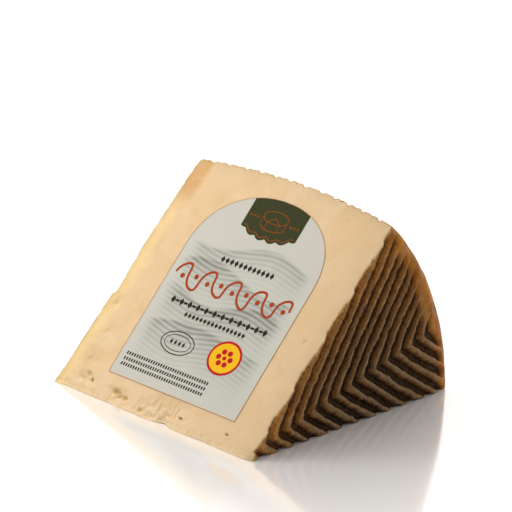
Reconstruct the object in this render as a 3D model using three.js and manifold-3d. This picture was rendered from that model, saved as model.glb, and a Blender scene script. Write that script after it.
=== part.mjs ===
// A wedge of pressed sheep's-milk cheese, one eighth of a small wheel, lying on a cut face.
// Millimetres, +Z up. The wheel's axis runs along Y on the ground, and the cut face with the
// label rises from it. Everything is built with that axis at x = 0 and centred at the end.

import * as THREE from 'three';
import { mergeVertices } from 'three/addons/utils/BufferGeometryUtils.js';
import Module from 'manifold-3d';

const wasm = await Module();
wasm.setup();

// Driving sizes of the wheel and of the cut
const rimRadius = 98;
const sideBulge = 4.15;
const sideTilt = 0.3;
const wedgeAngle = THREE.MathUtils.degToRad(45.36);
const nearApexY = -49.85;
const nearRimY = -51.91;
const farApexY = 52.73;
const farRimY = 49.03;

// How finely the wheel is divided: around its axis, and along its side
const wheelFacets = 72;
const sideSteps = 5;

// The rounded shoulders between the flat ends and the side
const shoulder = { reach: 6, drop: 3, steps: 5, roundness: 2 / 2.2 };

// The flower pattern pressed into the two flat ends: nested V grooves that point at the axis
const nearPattern = {
  count: 15,
  firstTip: [2.5, 3.6],
  tipStep: [5.92, 1.493],
  upperAngle: 56,
  lowerAngle: -35.5,
  tipBend: 14,
  depth: 1.6,
  width: 2.3,
  stopRadius: 91,
  stopSpread: 4,
  seed: 11,
};
const farPattern = {
  ...nearPattern,
  firstTip: [4.4, 3.2],
  upperAngle: 50,
  depth: 1.3,
  seed: 23,
};
// Along a groove: the spacing of its stations, how soon the bend at its tip fades, how far it
// wanders sideways and over which wavelengths, and how much its width varies
const grooveStep = 8;
const grooveBendLength = 8;
const grooveWander = 0.28;
const grooveWaves = [13, 19];
const grooveWidths = [0.9, 1.1];
const grooveEndDepth = 0.45;
const cutMargin = 4;

// Sections from one lip of a groove to the other: across, and down
const grooveSection = [[-0.5, 0], [-0.33, 0.62], [0, 1], [0.33, 0.62], [0.5, 0]];

// The plaited band pressed into the side: zigzag grooves that run around the wheel
const plait = { lines: 12, pitch: 7.6, swing: 2.4, halfPeriod: 6.1, depth: 0.75, width: 2.5 };
const plaitSection = [[-0.5, 0], [-0.2, 1], [0.2, 1], [0.5, 0]];

// How far a cutter stands out of the surface that it cuts
const clearance = 1.5;

// Small holes and crumbled spots on the labelled cut face: along Y, up the slope, and half sizes
const pits = [
  { y: 37.0, s: 6.0, half: [1.1, 0.8, 1.4] },
  { y: 39.6, s: 7.2, half: [1.7, 1.4, 0.6] },
  { y: 24.0, s: 4.8, half: [2.2, 1.3, 1.1] },
  { y: 18.4, s: 4.1, half: [2.0, 1.2, 1.3] },
  { y: -10.3, s: 5.2, half: [0.8, 0.6, 0.8] },
  { y: -33.2, s: 6.1, half: [1.0, 0.6, 0.8] },
];

const lumpiness = [0.8, 1.15];

// Chips out of the edges: centre in space and half sizes
const chips = [
  { at: [-0.6, -4.5, 1.6], half: [1.6, 3.4, 1.3] },
  { at: [-0.9, 31, 0.2], half: [1.5, 9, 1.2] },
  { at: [-1.0, -24, 0.4], half: [1.5, 7, 1.2] },
  { at: [1.2, -51.4, 3.6], half: [2.4, 1.9, 2.0] },
];

// The paper label on the cut face, an arch with straight sides
const label = {
  middleY: -0.8,
  halfWidth: 32.7,
  bottom: 11.3,
  shoulder: 66,
  top: 93.4,
  thickness: 0.3,
  gap: 0.3,
  arcSteps: 28,
};

const cheeseColour = 0xe9c893;
const paperColour = 0xd0cec1;

// Repeatable random numbers from 0 to 1
function randomFrom(seed) {
  let state = seed;
  return () => {
    state = (state * 1664525 + 1013904223) % 4294967296;
    return state / 4294967296;
  };
}

// The wheel's radius at a height along its axis
function sideRadius(y) {
  const along = y / 51.5;
  return rimRadius + sideBulge * (1 - along * along) + sideTilt * along;
}

// The height of a flat end at a distance from the axis
function endY(apexY, rimY, rho) {
  return apexY + (rimY - apexY) * rho / rimRadius;
}

function toManifold(geometry) {
  const bare = geometry.clone();
  bare.deleteAttribute('normal');
  bare.deleteAttribute('uv');
  const merged = mergeVertices(bare, 1e-4);
  return new wasm.Manifold(new wasm.Mesh({
    numProp: 3,
    vertProperties: new Float32Array(merged.attributes.position.array),
    triVerts: new Uint32Array(merged.index.array),
  }));
}

function toGeometry(solid) {
  const mesh = solid.getMesh();
  const geometry = new THREE.BufferGeometry();
  geometry.setAttribute('position', new THREE.BufferAttribute(mesh.vertProperties, 3));
  geometry.setIndex(new THREE.BufferAttribute(mesh.triVerts, 1));
  return geometry;
}

// A closed body through rings of points that all have the same number of corners
function loft(rings) {
  const corners = rings[0].length;
  const positions = rings.flat().flatMap((p) => [p.x, p.y, p.z]);
  const index = [];
  for (let i = 0; i + 1 < rings.length; i += 1) {
    for (let j = 0; j < corners; j += 1) {
      const a = i * corners + j;
      const b = i * corners + (j + 1) % corners;
      index.push(a, b, a + corners, b, b + corners, a + corners);
    }
  }
  const last = (rings.length - 1) * corners;
  for (let j = 1; j + 1 < corners; j += 1) {
    index.push(0, j + 1, j);
    index.push(last, last + j, last + j + 1);
  }
  if (signedVolume(positions, index) < 0) index.reverse();
  const geometry = new THREE.BufferGeometry();
  geometry.setAttribute('position', new THREE.Float32BufferAttribute(positions, 3));
  geometry.setIndex(index);
  return geometry;
}

function signedVolume(positions, index) {
  const corner = (k) => new THREE.Vector3().fromArray(positions, 3 * index[k]);
  let six = 0;
  for (let k = 0; k < index.length; k += 3) {
    six += corner(k).dot(corner(k + 1).cross(corner(k + 2)));
  }
  return six / 6;
}

// One ring of a groove's cutter: the section below the surface and two corners above it
function cutterRing(at, across, out, section, width, depth) {
  const place = (a, b) => at.clone().addScaledVector(across, a * width).addScaledVector(out, b);
  const ring = section.map(([a, b]) => place(a, -b * depth));
  ring.push(place(0.62, clearance), place(-0.62, clearance));
  return ring;
}

// Half of the wheel's outline, from the axis at the near end to the axis at the far end
function wheelProfile() {
  const points = [new THREE.Vector2(0, nearApexY)];
  const corner = (rimY, side, turn) => {
    const y0 = rimY - side * shoulder.drop;
    const r0 = sideRadius(y0) - shoulder.reach;
    const r = r0 + shoulder.reach * Math.sin(turn) ** shoulder.roundness;
    return new THREE.Vector2(r, y0 + side * shoulder.drop * Math.cos(turn) ** shoulder.roundness);
  };
  const quarter = (i) => i / shoulder.steps * Math.PI / 2;
  for (let i = 0; i <= shoulder.steps; i += 1) points.push(corner(nearRimY, -1, quarter(i)));
  for (let i = 1; i < sideSteps; i += 1) {
    const y = THREE.MathUtils.lerp(nearRimY + shoulder.drop, farRimY - shoulder.drop, i / sideSteps);
    points.push(new THREE.Vector2(sideRadius(y), y));
  }
  for (let i = shoulder.steps; i >= 0; i -= 1) points.push(corner(farRimY, 1, quarter(i)));
  points.push(new THREE.Vector2(0, farApexY));
  return points;
}

function wheel() {
  return toManifold(new THREE.LatheGeometry(wheelProfile(), wheelFacets));
}

// A prism along Y that keeps one slice of the wheel, between the ground and the cut face
function slice() {
  const far = 2 * rimRadius;
  const shape = new THREE.Shape();
  shape.moveTo(0, 0);
  shape.lineTo(far, 0);
  shape.lineTo(far * Math.cos(wedgeAngle), far * Math.sin(wedgeAngle));
  const length = 160;
  const prism = new THREE.ExtrudeGeometry(shape, { depth: length, bevelEnabled: false });
  prism.rotateX(Math.PI / 2);
  prism.translate(0, length / 2, 0);
  return toManifold(prism);
}

// Points along one arm of a V, which bends a little near its tip and wanders
function armPoints(tip, angle, bend, stop, random) {
  const points = [];
  const phase = random() * 2 * Math.PI;
  const wave = THREE.MathUtils.lerp(...grooveWaves, random());
  let x = tip[0];
  let z = tip[1];
  let travelled = 0;
  while (!stop(x, z)) {
    const heading = THREE.MathUtils.degToRad(angle + bend * Math.exp(-travelled / grooveBendLength));
    const straightStart = Math.min(1, travelled / grooveBendLength);
    const wander = grooveWander * straightStart * Math.sin(phase + travelled * 2 * Math.PI / wave);
    points.push({
      x: x - wander * Math.sin(heading),
      z: z + wander * Math.cos(heading),
      heading,
      width: THREE.MathUtils.lerp(...grooveWidths, random()),
    });
    x += grooveStep * Math.cos(heading);
    z += grooveStep * Math.sin(heading);
    travelled += grooveStep;
  }
  return points;
}

// The cutter for one arm on a flat end; side is -1 at the near end and 1 at the far end
function armCutter(points, pattern, apexY, rimY, side) {
  const out = new THREE.Vector3(0, side, 0);
  const rings = points.map((p, i) => {
    const across = new THREE.Vector3(-Math.sin(p.heading), 0, Math.cos(p.heading));
    const at = new THREE.Vector3(p.x, endY(apexY, rimY, Math.hypot(p.x, p.z)), p.z);
    const fade = i === points.length - 1 ? grooveEndDepth : 1;
    const width = pattern.width * p.width * (1 + fade) / 2;
    return cutterRing(at, across, out, grooveSection, width, pattern.depth * fade);
  });
  // The first ring starts a little before the tip, so that the two arms of a V meet
  const start = points[0];
  const back = new THREE.Vector3(Math.cos(start.heading), 0, Math.sin(start.heading));
  rings.unshift(rings[0].map((p) => p.clone().addScaledVector(back, -0.4 * pattern.width)));
  return toManifold(loft(rings));
}

function patternCutter(pattern, apexY, rimY, side) {
  const random = randomFrom(pattern.seed);
  const arms = [];
  for (let i = 0; i < pattern.count; i += 1) {
    const tip = [
      pattern.firstTip[0] + i * pattern.tipStep[0],
      pattern.firstTip[1] + i * pattern.tipStep[1],
    ];
    const limit = pattern.stopRadius + pattern.stopSpread * (random() - 0.5);
    const beyondCut = (x, z) => z > x * Math.tan(wedgeAngle) + cutMargin;
    const upperStop = (x, z) => beyondCut(x, z) || Math.hypot(x, z) > limit;
    const lowerStop = (x, z) => z < -grooveStep || Math.hypot(x, z) > rimRadius;
    const upper = armPoints(tip, pattern.upperAngle, pattern.tipBend, upperStop, random);
    const lower = armPoints(tip, pattern.lowerAngle, -pattern.tipBend, lowerStop, random);
    for (const points of [upper, lower]) {
      if (points.length > 1) arms.push(armCutter(points, pattern, apexY, rimY, side));
    }
  }
  return wasm.Manifold.union(arms);
}

// One zigzag groove around the side, with its rings on planes through the axis
function plaitCutter(y0) {
  const rings = [];
  const step = plait.halfPeriod / rimRadius;
  const steps = Math.ceil((wedgeAngle + 2 * step) / step);
  for (let i = 0; i <= steps; i += 1) {
    const turn = (i - 1) * step;
    const y = y0 + (i % 2 === 0 ? plait.swing : -plait.swing);
    const out = new THREE.Vector3(Math.cos(turn), 0, Math.sin(turn));
    const at = out.clone().multiplyScalar(sideRadius(y)).setY(y);
    rings.push(cutterRing(at, new THREE.Vector3(0, 1, 0), out, plaitSection, plait.width, plait.depth));
  }
  return toManifold(loft(rings));
}

function plaitCutters() {
  const first = -(plait.lines - 1) / 2 * plait.pitch;
  const cutters = [];
  for (let i = 0; i < plait.lines; i += 1) {
    cutters.push(plaitCutter(first + i * plait.pitch));
  }
  return wasm.Manifold.union(cutters);
}

// A lumpy ball, used to take out a pit or a chip
function lump(half, random) {
  const round = new THREE.IcosahedronGeometry(1, 1);
  round.deleteAttribute('normal');
  round.deleteAttribute('uv');
  const ball = mergeVertices(round);
  const position = ball.attributes.position;
  for (let i = 0; i < position.count; i += 1) {
    const grow = THREE.MathUtils.lerp(...lumpiness, random());
    position.setXYZ(i, ...[0, 1, 2].map((k) => position.getComponent(i, k) * grow * half[k]));
  }
  return ball;
}

function blemishCutter() {
  const random = randomFrom(5);
  const lumps = pits.map(({ y, s, half }) => {
    const ball = lump([half[1], half[0], half[2]], random);
    ball.rotateY(-wedgeAngle);
    ball.translate(s * Math.cos(wedgeAngle), y, s * Math.sin(wedgeAngle));
    return toManifold(ball);
  });
  for (const { at, half } of chips) {
    const ball = lump(half, random);
    ball.translate(...at);
    lumps.push(toManifold(ball));
  }
  return wasm.Manifold.union(lumps);
}

function wedgeGeometry() {
  const whole = wheel().intersect(slice());
  const pressed = whole
    .subtract(patternCutter(nearPattern, nearApexY, nearRimY, -1))
    .subtract(patternCutter(farPattern, farApexY, farRimY, 1))
    .subtract(plaitCutters());
  return toGeometry(pressed.subtract(blemishCutter()));
}

// The label lies parallel to the cut face; its outline is drawn along Y and up the slope
function labelGeometry() {
  const shape = new THREE.Shape();
  shape.moveTo(label.halfWidth, label.bottom);
  for (let i = 0; i <= label.arcSteps; i += 1) {
    const turn = i / label.arcSteps * Math.PI;
    const s = label.shoulder + (label.top - label.shoulder) * Math.sin(turn);
    shape.lineTo(label.halfWidth * Math.cos(turn), s);
  }
  shape.lineTo(-label.halfWidth, label.bottom);
  const plate = new THREE.ExtrudeGeometry(shape, { depth: label.thickness, bevelEnabled: false });
  const alongY = new THREE.Vector3(0, 1, 0);
  const upSlope = new THREE.Vector3(Math.cos(wedgeAngle), 0, Math.sin(wedgeAngle));
  const out = new THREE.Vector3(-Math.sin(wedgeAngle), 0, Math.cos(wedgeAngle));
  const place = new THREE.Matrix4().makeBasis(alongY.clone().negate(), upSlope, out);
  place.setPosition(out.clone().multiplyScalar(label.gap).setY(label.middleY));
  plate.applyMatrix4(place);
  return toGeometry(toManifold(plate));
}

function part(name, geometry, colour, roughness) {
  const material = new THREE.MeshStandardMaterial({ color: colour, roughness, metalness: 0 });
  material.name = name;
  const mesh = new THREE.Mesh(geometry, material);
  mesh.name = name;
  return mesh;
}

const wedge = part('wedge', wedgeGeometry(), cheeseColour, 0.55);
const paper = part('label', labelGeometry(), paperColour, 0.6);

// Puts the middle of the footprint at the origin and the lower cut face on the ground
const box = new THREE.Box3().setFromBufferAttribute(wedge.geometry.attributes.position);
const middle = box.getCenter(new THREE.Vector3());
for (const mesh of [wedge, paper]) mesh.position.set(-middle.x, -middle.y, -box.min.z);

const group = new THREE.Group();
group.name = 'cheese_wedge';
group.add(wedge, paper);

export default group;
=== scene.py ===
"""A wedge of pressed sheep's-milk cheese with its rind and paper label, over its CAD frame.

The wheel's axis runs along Y on the ground. A point of the wedge is given by its distance from
that axis (rho), the angle that it is raised by around it, and its place along it (y). On the
labelled cut face, rho is also the distance up the slope.
"""

import math

import bpy
import numpy as np
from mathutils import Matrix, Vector


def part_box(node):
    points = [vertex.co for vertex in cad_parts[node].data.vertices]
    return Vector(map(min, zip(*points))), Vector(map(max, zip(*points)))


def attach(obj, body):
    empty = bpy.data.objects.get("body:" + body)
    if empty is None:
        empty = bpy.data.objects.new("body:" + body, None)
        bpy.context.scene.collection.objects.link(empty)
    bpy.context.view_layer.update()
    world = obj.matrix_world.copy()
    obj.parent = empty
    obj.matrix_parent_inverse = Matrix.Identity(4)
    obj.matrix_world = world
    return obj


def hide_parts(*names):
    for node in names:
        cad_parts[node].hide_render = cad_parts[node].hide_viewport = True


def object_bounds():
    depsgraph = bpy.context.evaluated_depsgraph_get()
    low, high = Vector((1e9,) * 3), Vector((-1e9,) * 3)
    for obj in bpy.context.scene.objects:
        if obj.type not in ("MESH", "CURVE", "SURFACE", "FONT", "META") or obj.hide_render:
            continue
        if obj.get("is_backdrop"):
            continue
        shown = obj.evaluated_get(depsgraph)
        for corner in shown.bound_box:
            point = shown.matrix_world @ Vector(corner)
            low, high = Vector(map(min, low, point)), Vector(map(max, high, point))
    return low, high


MM = 0.001

# The wheel and the cut, as in the CAD part
RIM_RADIUS = 98 * MM
SIDE_BULGE = 4.15 * MM
SIDE_TILT = 0.3 * MM
SIDE_REACH = 51.5 * MM
WEDGE_ANGLE = math.radians(45.36)
NEAR_APEX_Y = -49.85 * MM
NEAR_RIM_Y = -51.91 * MM
FAR_APEX_Y = 52.73 * MM
FAR_RIM_Y = 49.03 * MM
SHOULDER_REACH = 6 * MM
SHOULDER_DROP = 3 * MM
SHOULDER_ROUNDNESS = 2 / 2.2

# Rows of the surface along each flat end, around each shoulder and across the side, and columns
# from the ground to the cut face
END_ROWS = 280
SHOULDER_ROWS = 16
SIDE_ROWS = 190
COLUMNS = 240

# The flower pattern in the flat ends: nested V grooves that point at the axis
NEAR_PATTERN = {
    "count": 15,
    "first_tip": (2.5 * MM, 3.6 * MM),
    "tip_step": (5.92 * MM, 1.493 * MM),
    "upper_angle": math.radians(57),
    "lower_angle": math.radians(-35.5),
    "depth": 1.75 * MM,
    "stop_radius": 92 * MM,
    "seed": 11,
}
FAR_PATTERN = {
    **NEAR_PATTERN,
    "first_tip": (4.4 * MM, 3.2 * MM),
    "upper_angle": math.radians(50),
    "depth": 1.4 * MM,
    "seed": 23,
}

# How the grooves end, bend, widen and wander
STOP_SPREAD = 3.0 * MM
CORNER_REACH = 5 * MM
STOP_FADE = 4 * MM
LOWER_STOP = 97 * MM
UPPER_BEND = math.radians(17)
LOWER_BEND = math.radians(-5)
TIP_BEND_LENGTH = 5 * MM
TIP_START = 0.8 * MM
GROOVE_FLOOR = 0.35 * MM
UPPER_STEEP_SIDE = 1.3 * MM
UPPER_GENTLE_SIDE = 2.7 * MM
LOWER_STEEP_SIDE = 1.3 * MM
LOWER_GENTLE_SIDE = 2.5 * MM
# Width and setback of the painted highlight along each groove's steep lip
LIP_HALF_WIDTH = 0.65 * MM
LIP_SETBACK = 0.2 * MM
GROOVE_WANDER = 0.35 * MM
GROOVE_WAVE = 7 * MM
RAGGED_EDGE = 0.21
RAGGED_CELL = 1.9 * MM
RAGGED_FINE = 0.24
RAGGED_FINE_CELL = 0.7 * MM
SHALLOW_AT_CUT = 0.62
SHALLOW_REACH = 9 * MM
FAR_SHALLOW_FROM = -2 * MM
PALE_GROOVE_REACH = 1.5 * MM
BAND_LUMPS = 0.28 * MM
CRUMB_DEPTH = 0.13 * MM
CRUMB_CELL = 0.9 * MM
CRUMBS_FROM = 0.3 * MM

# Soft lumps all over the rind: height, size and seed
LUMPS = [
    (0.12 * MM, 4 * MM, 61),
    (0.05 * MM, 1.5 * MM, 62),
]

# The smooth band around each flat end, and where the rind turns warmer towards it and the cut
BAND_FROM = 88 * MM
BAND_COLOUR_FROM = 89 * MM
BAND_TO = 94 * MM
BAND_LUMP_SIZE = 4.2 * MM
MARGIN_FROM = 38 * MM
MARGIN_TO = 47 * MM
SIDE_MIDDLE = -1.5 * MM
WARM_FROM = 60 * MM
WARM_TO = 92 * MM
WARM_REACH = 10 * MM
RIND_EDGE_REACH = 0.6 * MM

# A place along the far edge where the knife took off a little more
SHAVED_FROM = 38.5 * MM
SHAVED_TO = 62 * MM
SHAVED_DEPTH = 1.3 * MM
SHAVED_REACH = 4 * MM
SHAVED_START = 2 * MM

# The plaited band in the side: zigzag grooves around the wheel with shallower ones between
PLAIT_LINES = 12
PLAIT_PITCH = 7.6 * MM
PLAIT_SWING = 2.4 * MM
PLAIT_HALF_PERIOD = 6.1 * MM
PLAIT_DEPTH = 0.95 * MM
PLAIT_HALF_WIDTH = 1.5 * MM
STRAND_DEPTH = 0.38 * MM
STRAND_HALF_WIDTH = 0.9 * MM
PLAIT_WARP = 1.3 * MM
PLAIT_WARP_SIZE = 7 * MM
PLAIT_WANDER = 0.25 * MM
PLAIT_WANDER_SIZE = 5 * MM
PLAIT_AT_CUT = 0.75
PLAIT_SETTLED = 4 * MM

# How far the edges of the cut are worn back, and how wide a strip that takes
EDGE_WEAR = 0.2 * MM
EDGE_WEAR_SPREAD = 0.3 * MM
EDGE_BITES = 0.7 * MM
EDGE_STRIP = 1.1 * MM
WEAR_SIZE = 3.5 * MM
BITE_SIZE = 1.3 * MM
CALM_FROM = 40 * MM
CALM_TO = 50 * MM
APEX_WEAR = 0.28 * MM
APEX_STRIP = 2.2 * MM
APEX_WEAR_SLOPE = math.radians(5)
CRUMBLY_REACH = 5 * MM

# Spots where the thin edge has crumbled away, in mm: along Y, half length, and how far
APEX_CHIPS = [
    (-4.0, 3.2, 1.8),
    (31.0, 9.0, 0.35),
    (-24.0, 6.0, 0.4),
    (46.0, 3.0, 0.3),
    (-50.2, 2.4, 1.1),
]

# Small holes in the labelled cut face: along Y, up the slope, half sizes and depth in mm, and
# how dark: crumb colour around each hole, then painted shade in its depth
PITS = [
    (36.9, 6.1, 0.8, 0.7, 1.4, 1.0),
    (39.6, 8.0, 1.6, 1.2, 0.5, 0.3),
    (23.4, 5.6, 2.2, 1.3, 1.0, 0.34),
    (21.0, 4.4, 1.2, 0.9, 0.8, 0.38),
    (18.4, 4.3, 1.6, 1.0, 1.0, 0.36),
    (8.5, 2.6, 1.4, 1.2, 0.6, 0.35),
    (-4.5, 4.4, 1.5, 1.0, 0.5, 0.3),
    (-10.3, 5.2, 0.6, 0.5, 0.9, 1.0),
    (-33.2, 6.1, 0.8, 0.5, 0.8, 1.0),
    (-42.7, 47.4, 1.1, 0.9, 0.25, 0.2),
]

# Where the cut face is torn and crumbled: along Y, up the slope and half sizes in mm, and how
# much
TORN_SPOTS = [
    (21.5, 4.5, 5.0, 2.2, 1.0),
    (2.0, 4.5, 7.5, 4.5, 1.0),
    (-8.5, 7.0, 5.5, 2.6, 1.0),
    (40.0, 6.0, 4.0, 2.0, 1.0),
    (42.0, 13.1, 3.5, 2.6, 0.6),
    (42.3, 24.2, 3.0, 4.5, 0.5),
    (46.5, 36.2, 1.6, 2.2, 0.7),
]
TORN_DEPTH = 0.4 * MM

# The paste's skin beside the rind, its orange corner, a painted glow along the far edge, painted shade
# towards the near end, and painted light near the thin edge
SKIN_RAGGED = 0.5 * MM
SKIN_REACH = 0.8 * MM
SOFT_SKIN_REACH = 3.5 * MM
EDGE_GLOW_STRIP = (8.5 * MM, 1 * MM)
CORNER_STRIP = (9.5 * MM, 6 * MM)
CORNER_RISE = (74 * MM, 90 * MM)
NEAR_END_SHADE_REACH = 14 * MM
PAINTED_LIGHT_REACH = 11 * MM

# The paper label on the cut face, an arch with straight sides
LABEL_MIDDLE = -0.8 * MM
LABEL_HALF_WIDTH = 32.7 * MM
LABEL_BOTTOM = 11.3 * MM
LABEL_SHOULDER = 66 * MM
LABEL_TOP = 93.4 * MM
LABEL_ROUNDNESS = 2.15
LABEL_HEIGHT = 0.15 * MM
LABEL_ROWS = 170
LABEL_COLUMNS = 90
INK_HEIGHT = 0.03 * MM
# Where and how wide the painted line of edge shade and glow lies
OUTLINE_INSET = 0.996
OUTLINE_LINE = 0.22 * MM

# What is printed on the label, all plain ornament
PRINT_SIDES = (31 * MM, 24 * MM)
PRINT_BOTTOM = (13 * MM, 27 * MM)
LEVEL_PITCH = 1.9 * MM
LEVEL_SWELL = 1.6 * MM
LEVEL_LENGTH = 44 * MM
LEVEL_DARKNESS = 0.42
CREST_SOFTNESS = 0.7 * MM
BADGE_HALF_WIDTH = 13.8 * MM
BADGE_BOTTOM = 76.3 * MM
BADGE_RISE = 3.6 * MM
BADGE_SCALLOP = 1.1 * MM
BADGE_LINE = 0.45 * MM
BADGE_GAP = 0.2 * MM
SCALLOP_RISE = 1.2 * MM
WHEEL_TOP = 86.2 * MM
WHEEL_HALF = (6.0 * MM, 2.5 * MM)
WHEEL_DROP = 3.0 * MM
GARLAND_START = 28.0 * MM
GARLAND_END = -30.0 * MM
GARLAND_MIDDLE = 55 * MM
GARLAND_HEIGHT = 4.6 * MM
GARLAND_WAVES = 4.5
GARLAND_LINE = 0.95 * MM
OVAL_CENTRE = (9.5 * MM, 30.2 * MM)
OVALS = [(8.05 * MM, 4.4 * MM, 0.4 * MM), (6.4 * MM, 3.1 * MM, 0.25 * MM)]
DISC_CENTRE = (-14.0 * MM, 31.2 * MM)
DISC_SIZE = (7.2 * MM, 6.3 * MM)
PETAL_PLACE = (2.9 * MM, 2.6 * MM)
PETAL_HALF = (1.15 * MM, 1.05 * MM)
BERRY_HALF = 1.0 * MM
BERRY_OFF = 0.6 * MM

# Soft hills behind the ornament: height, swell, length, place of the top and reach downwards in
# mm, and how dark
HILLS = [
    (71, 3.0, 56, -9, 7, 0.30),
    (60, 3.6, 70, 16, 8, 0.34),
    (49, 2.6, 50, -18, 9, 0.34),
    (36, 2.2, 80, 6, 10, 0.30),
]

# Rows of printed shapes, in mm: size across and up, first and last place, height; and how many
DIAMOND_ROWS = [
    (0.95, 1.35, 11.5, -13.5, 65.3, 12),
    (1.15, 1.5, 22.5, -24.5, 45.0, 12),
    (0.8, 1.1, 13.2, -16.2, 41.2, 16),
    (0.7, 1.0, 12.6, 6.4, 30.2, 4),
]
DASH_ROWS = [
    (1.7, 0.9, 20.4, -22.4, 45.0, 11),
    (0.7, 1.25, 28.2, -13.2, 20.4, 34),
    (0.7, 1.25, 28.2, -13.2, 18.2, 34),
    (0.7, 1.25, 28.2, -13.2, 16.0, 34),
]
BADGE_ROWS = [
    (0.7, 0.7, -9.0, -12.6, 84.8, 3),
    (0.7, 0.7, 7.4, 11.0, 84.8, 3),
]


# The stage
FLOOR_HALF = 6
FLOOR_WHITE = (0.97, 0.945, 0.925)
MIRROR_NEAR = 50 * MM
MIRROR_FAR = 170 * MM
BRIGHT_SIDE = (0.66, 0.66, 0.36)
WORLD_DIM = 0.50
WORLD_BRIGHT = 1.25
KEY_POWER = 0.50
TOP_POWER = 1.0
RIM_POWER = 1.7

# The photograph's view, from a fit of the camera to the wedge's outline
CAMERA_AZIMUTH = math.radians(-44.150)
CAMERA_ELEVATION = math.radians(20.509)
CAMERA_DISTANCE = 1.372
CAMERA_LENS = 268.94
CAMERA_AIM = (49 * MM, 0, 29.4 * MM)
CAMERA_AIM_OFFSET = (1.456 * MM, 19.247 * MM)

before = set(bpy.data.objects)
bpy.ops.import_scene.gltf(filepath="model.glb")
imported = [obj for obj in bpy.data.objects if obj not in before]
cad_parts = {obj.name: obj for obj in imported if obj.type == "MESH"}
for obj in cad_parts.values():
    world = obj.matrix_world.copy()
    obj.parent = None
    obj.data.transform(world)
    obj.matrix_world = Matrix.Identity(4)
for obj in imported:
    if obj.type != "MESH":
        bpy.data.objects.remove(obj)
CAD_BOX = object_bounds()
WEDGE_LOW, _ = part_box("wedge")
AXIS_POINT = np.array([WEDGE_LOW.x, WEDGE_LOW.y - NEAR_RIM_Y, 0])
CUT_OUT = np.array([-math.sin(WEDGE_ANGLE), 0, math.cos(WEDGE_ANGLE)])
FLOOR_OUT = np.array([0, 0, -1])


# Number helpers

def smooth_step(low, high, value):
    share = np.clip((value - low) / (high - low), 0, 1)
    return share * share * (3 - 2 * share)


def noise(x, y, cell, seed):
    """Smooth random values from -1 to 1 over a plane, which change over about one cell."""
    size = 128
    grid = np.random.default_rng(seed).uniform(-1, 1, (size, size))
    u, v = np.asarray(x) / cell, np.asarray(y) / cell
    i, j = np.floor(u).astype(int), np.floor(v).astype(int)
    fu, fv = smooth_step(0, 1, u - i), smooth_step(0, 1, v - j)
    corner = lambda a, b: grid[(i + a) % size, (j + b) % size]
    low = corner(0, 0) * (1 - fu) + corner(1, 0) * fu
    high = corner(0, 1) * (1 - fu) + corner(1, 1) * fu
    return low * (1 - fv) + high * fv


def valley(share):
    """1 at share 0, falling smoothly to 0 at share 1."""
    return 0.5 + 0.5 * np.cos(math.pi * share)


def line_noise(along, cell, seed):
    return noise(along, np.zeros_like(along), cell, seed)


# The wheel's own shape

def side_radius(y):
    along = y / SIDE_REACH
    return RIM_RADIUS + SIDE_BULGE * (1 - along * along) + SIDE_TILT * along


def shoulder_rows(rim_y, side):
    """(radius, y) around a shoulder, from the flat end towards the side."""
    turn = np.linspace(0, math.pi / 2, SHOULDER_ROWS)
    y0 = rim_y - side * SHOULDER_DROP
    inner = side_radius(y0) - SHOULDER_REACH
    radius = inner + SHOULDER_REACH * np.sin(turn) ** SHOULDER_ROUNDNESS
    y = y0 + side * SHOULDER_DROP * np.cos(turn) ** SHOULDER_ROUNDNESS
    return radius, y


def wheel_profile():
    """(radius, y) of every row, from the axis at the near end to the axis at the far end."""
    near_radius, near_y = shoulder_rows(NEAR_RIM_Y, -1)
    far_radius, far_y = shoulder_rows(FAR_RIM_Y, 1)
    share = np.linspace(0, 1, END_ROWS)
    side_y = np.linspace(near_y[-1], far_y[-1], SIDE_ROWS)[1:-1]
    radius = np.concatenate([
        near_radius[0] * share[:-1], near_radius, side_radius(side_y),
        far_radius[::-1], far_radius[0] * share[-2::-1],
    ])
    y = np.concatenate([
        NEAR_APEX_Y + (near_y[0] - NEAR_APEX_Y) * share[:-1], near_y, side_y,
        far_y[::-1], FAR_APEX_Y + (far_y[0] - FAR_APEX_Y) * share[-2::-1],
    ])
    return radius, y


def profile_normals(radius, y):
    """The outward direction in the plane of radius and y, at every row."""
    along_radius, along_y = np.gradient(radius), np.gradient(y)
    length = np.hypot(along_radius, along_y)
    return along_y / length, -along_radius / length


def from_wheel(rho, angle, y):
    """Points in the row frame."""
    x = rho * np.cos(angle)
    z = rho * np.sin(angle)
    return np.stack(np.broadcast_arrays(x, y, z), -1) + AXIS_POINT


# The pattern in the flat ends

def groove_share(across, along, steep, gentle, seed):
    """How deep a groove is across its steep and its gentle side, and the band beside its steep lip
    where a highlight is painted.
    """
    side = np.sign(across) * 7.3
    ragged = RAGGED_EDGE * noise(along, side, RAGGED_CELL, seed)
    fine = RAGGED_FINE * noise(along, side, RAGGED_FINE_CELL, seed + 1)
    edge = np.where(across > 0, steep, gentle) * (1 + ragged + fine)
    share = np.clip((np.abs(across) - GROOVE_FLOOR) / (edge - GROOVE_FLOOR), 0, 1)
    lip = np.exp(-((across - edge - LIP_SETBACK) / LIP_HALF_WIDTH) ** 2) * (across > 0)
    return valley(share), lip


def arm_share(x, z, tip, angle, bend, steep, gentle, seed):
    """One straight arm of a V, which bends near its tip and wanders a little."""
    along = (x - tip[0]) * math.cos(angle) + (z - tip[1]) * math.sin(angle)
    across = (z - tip[1]) * math.cos(angle) - (x - tip[0]) * math.sin(angle)
    gone = np.maximum(along, 0)
    middle = TIP_BEND_LENGTH * bend * (1 - np.exp(-gone / TIP_BEND_LENGTH))
    settled = np.minimum(1, gone / TIP_BEND_LENGTH)
    middle = middle + GROOVE_WANDER * settled * line_noise(gone, GROOVE_WAVE, seed + 2)
    started = smooth_step(-TIP_START, 0, along)
    steep_side = 1 if angle > 0 else -1
    share, lip = groove_share(steep_side * (across - middle), along, steep, gentle, seed)
    return share * started, lip * started


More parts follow.
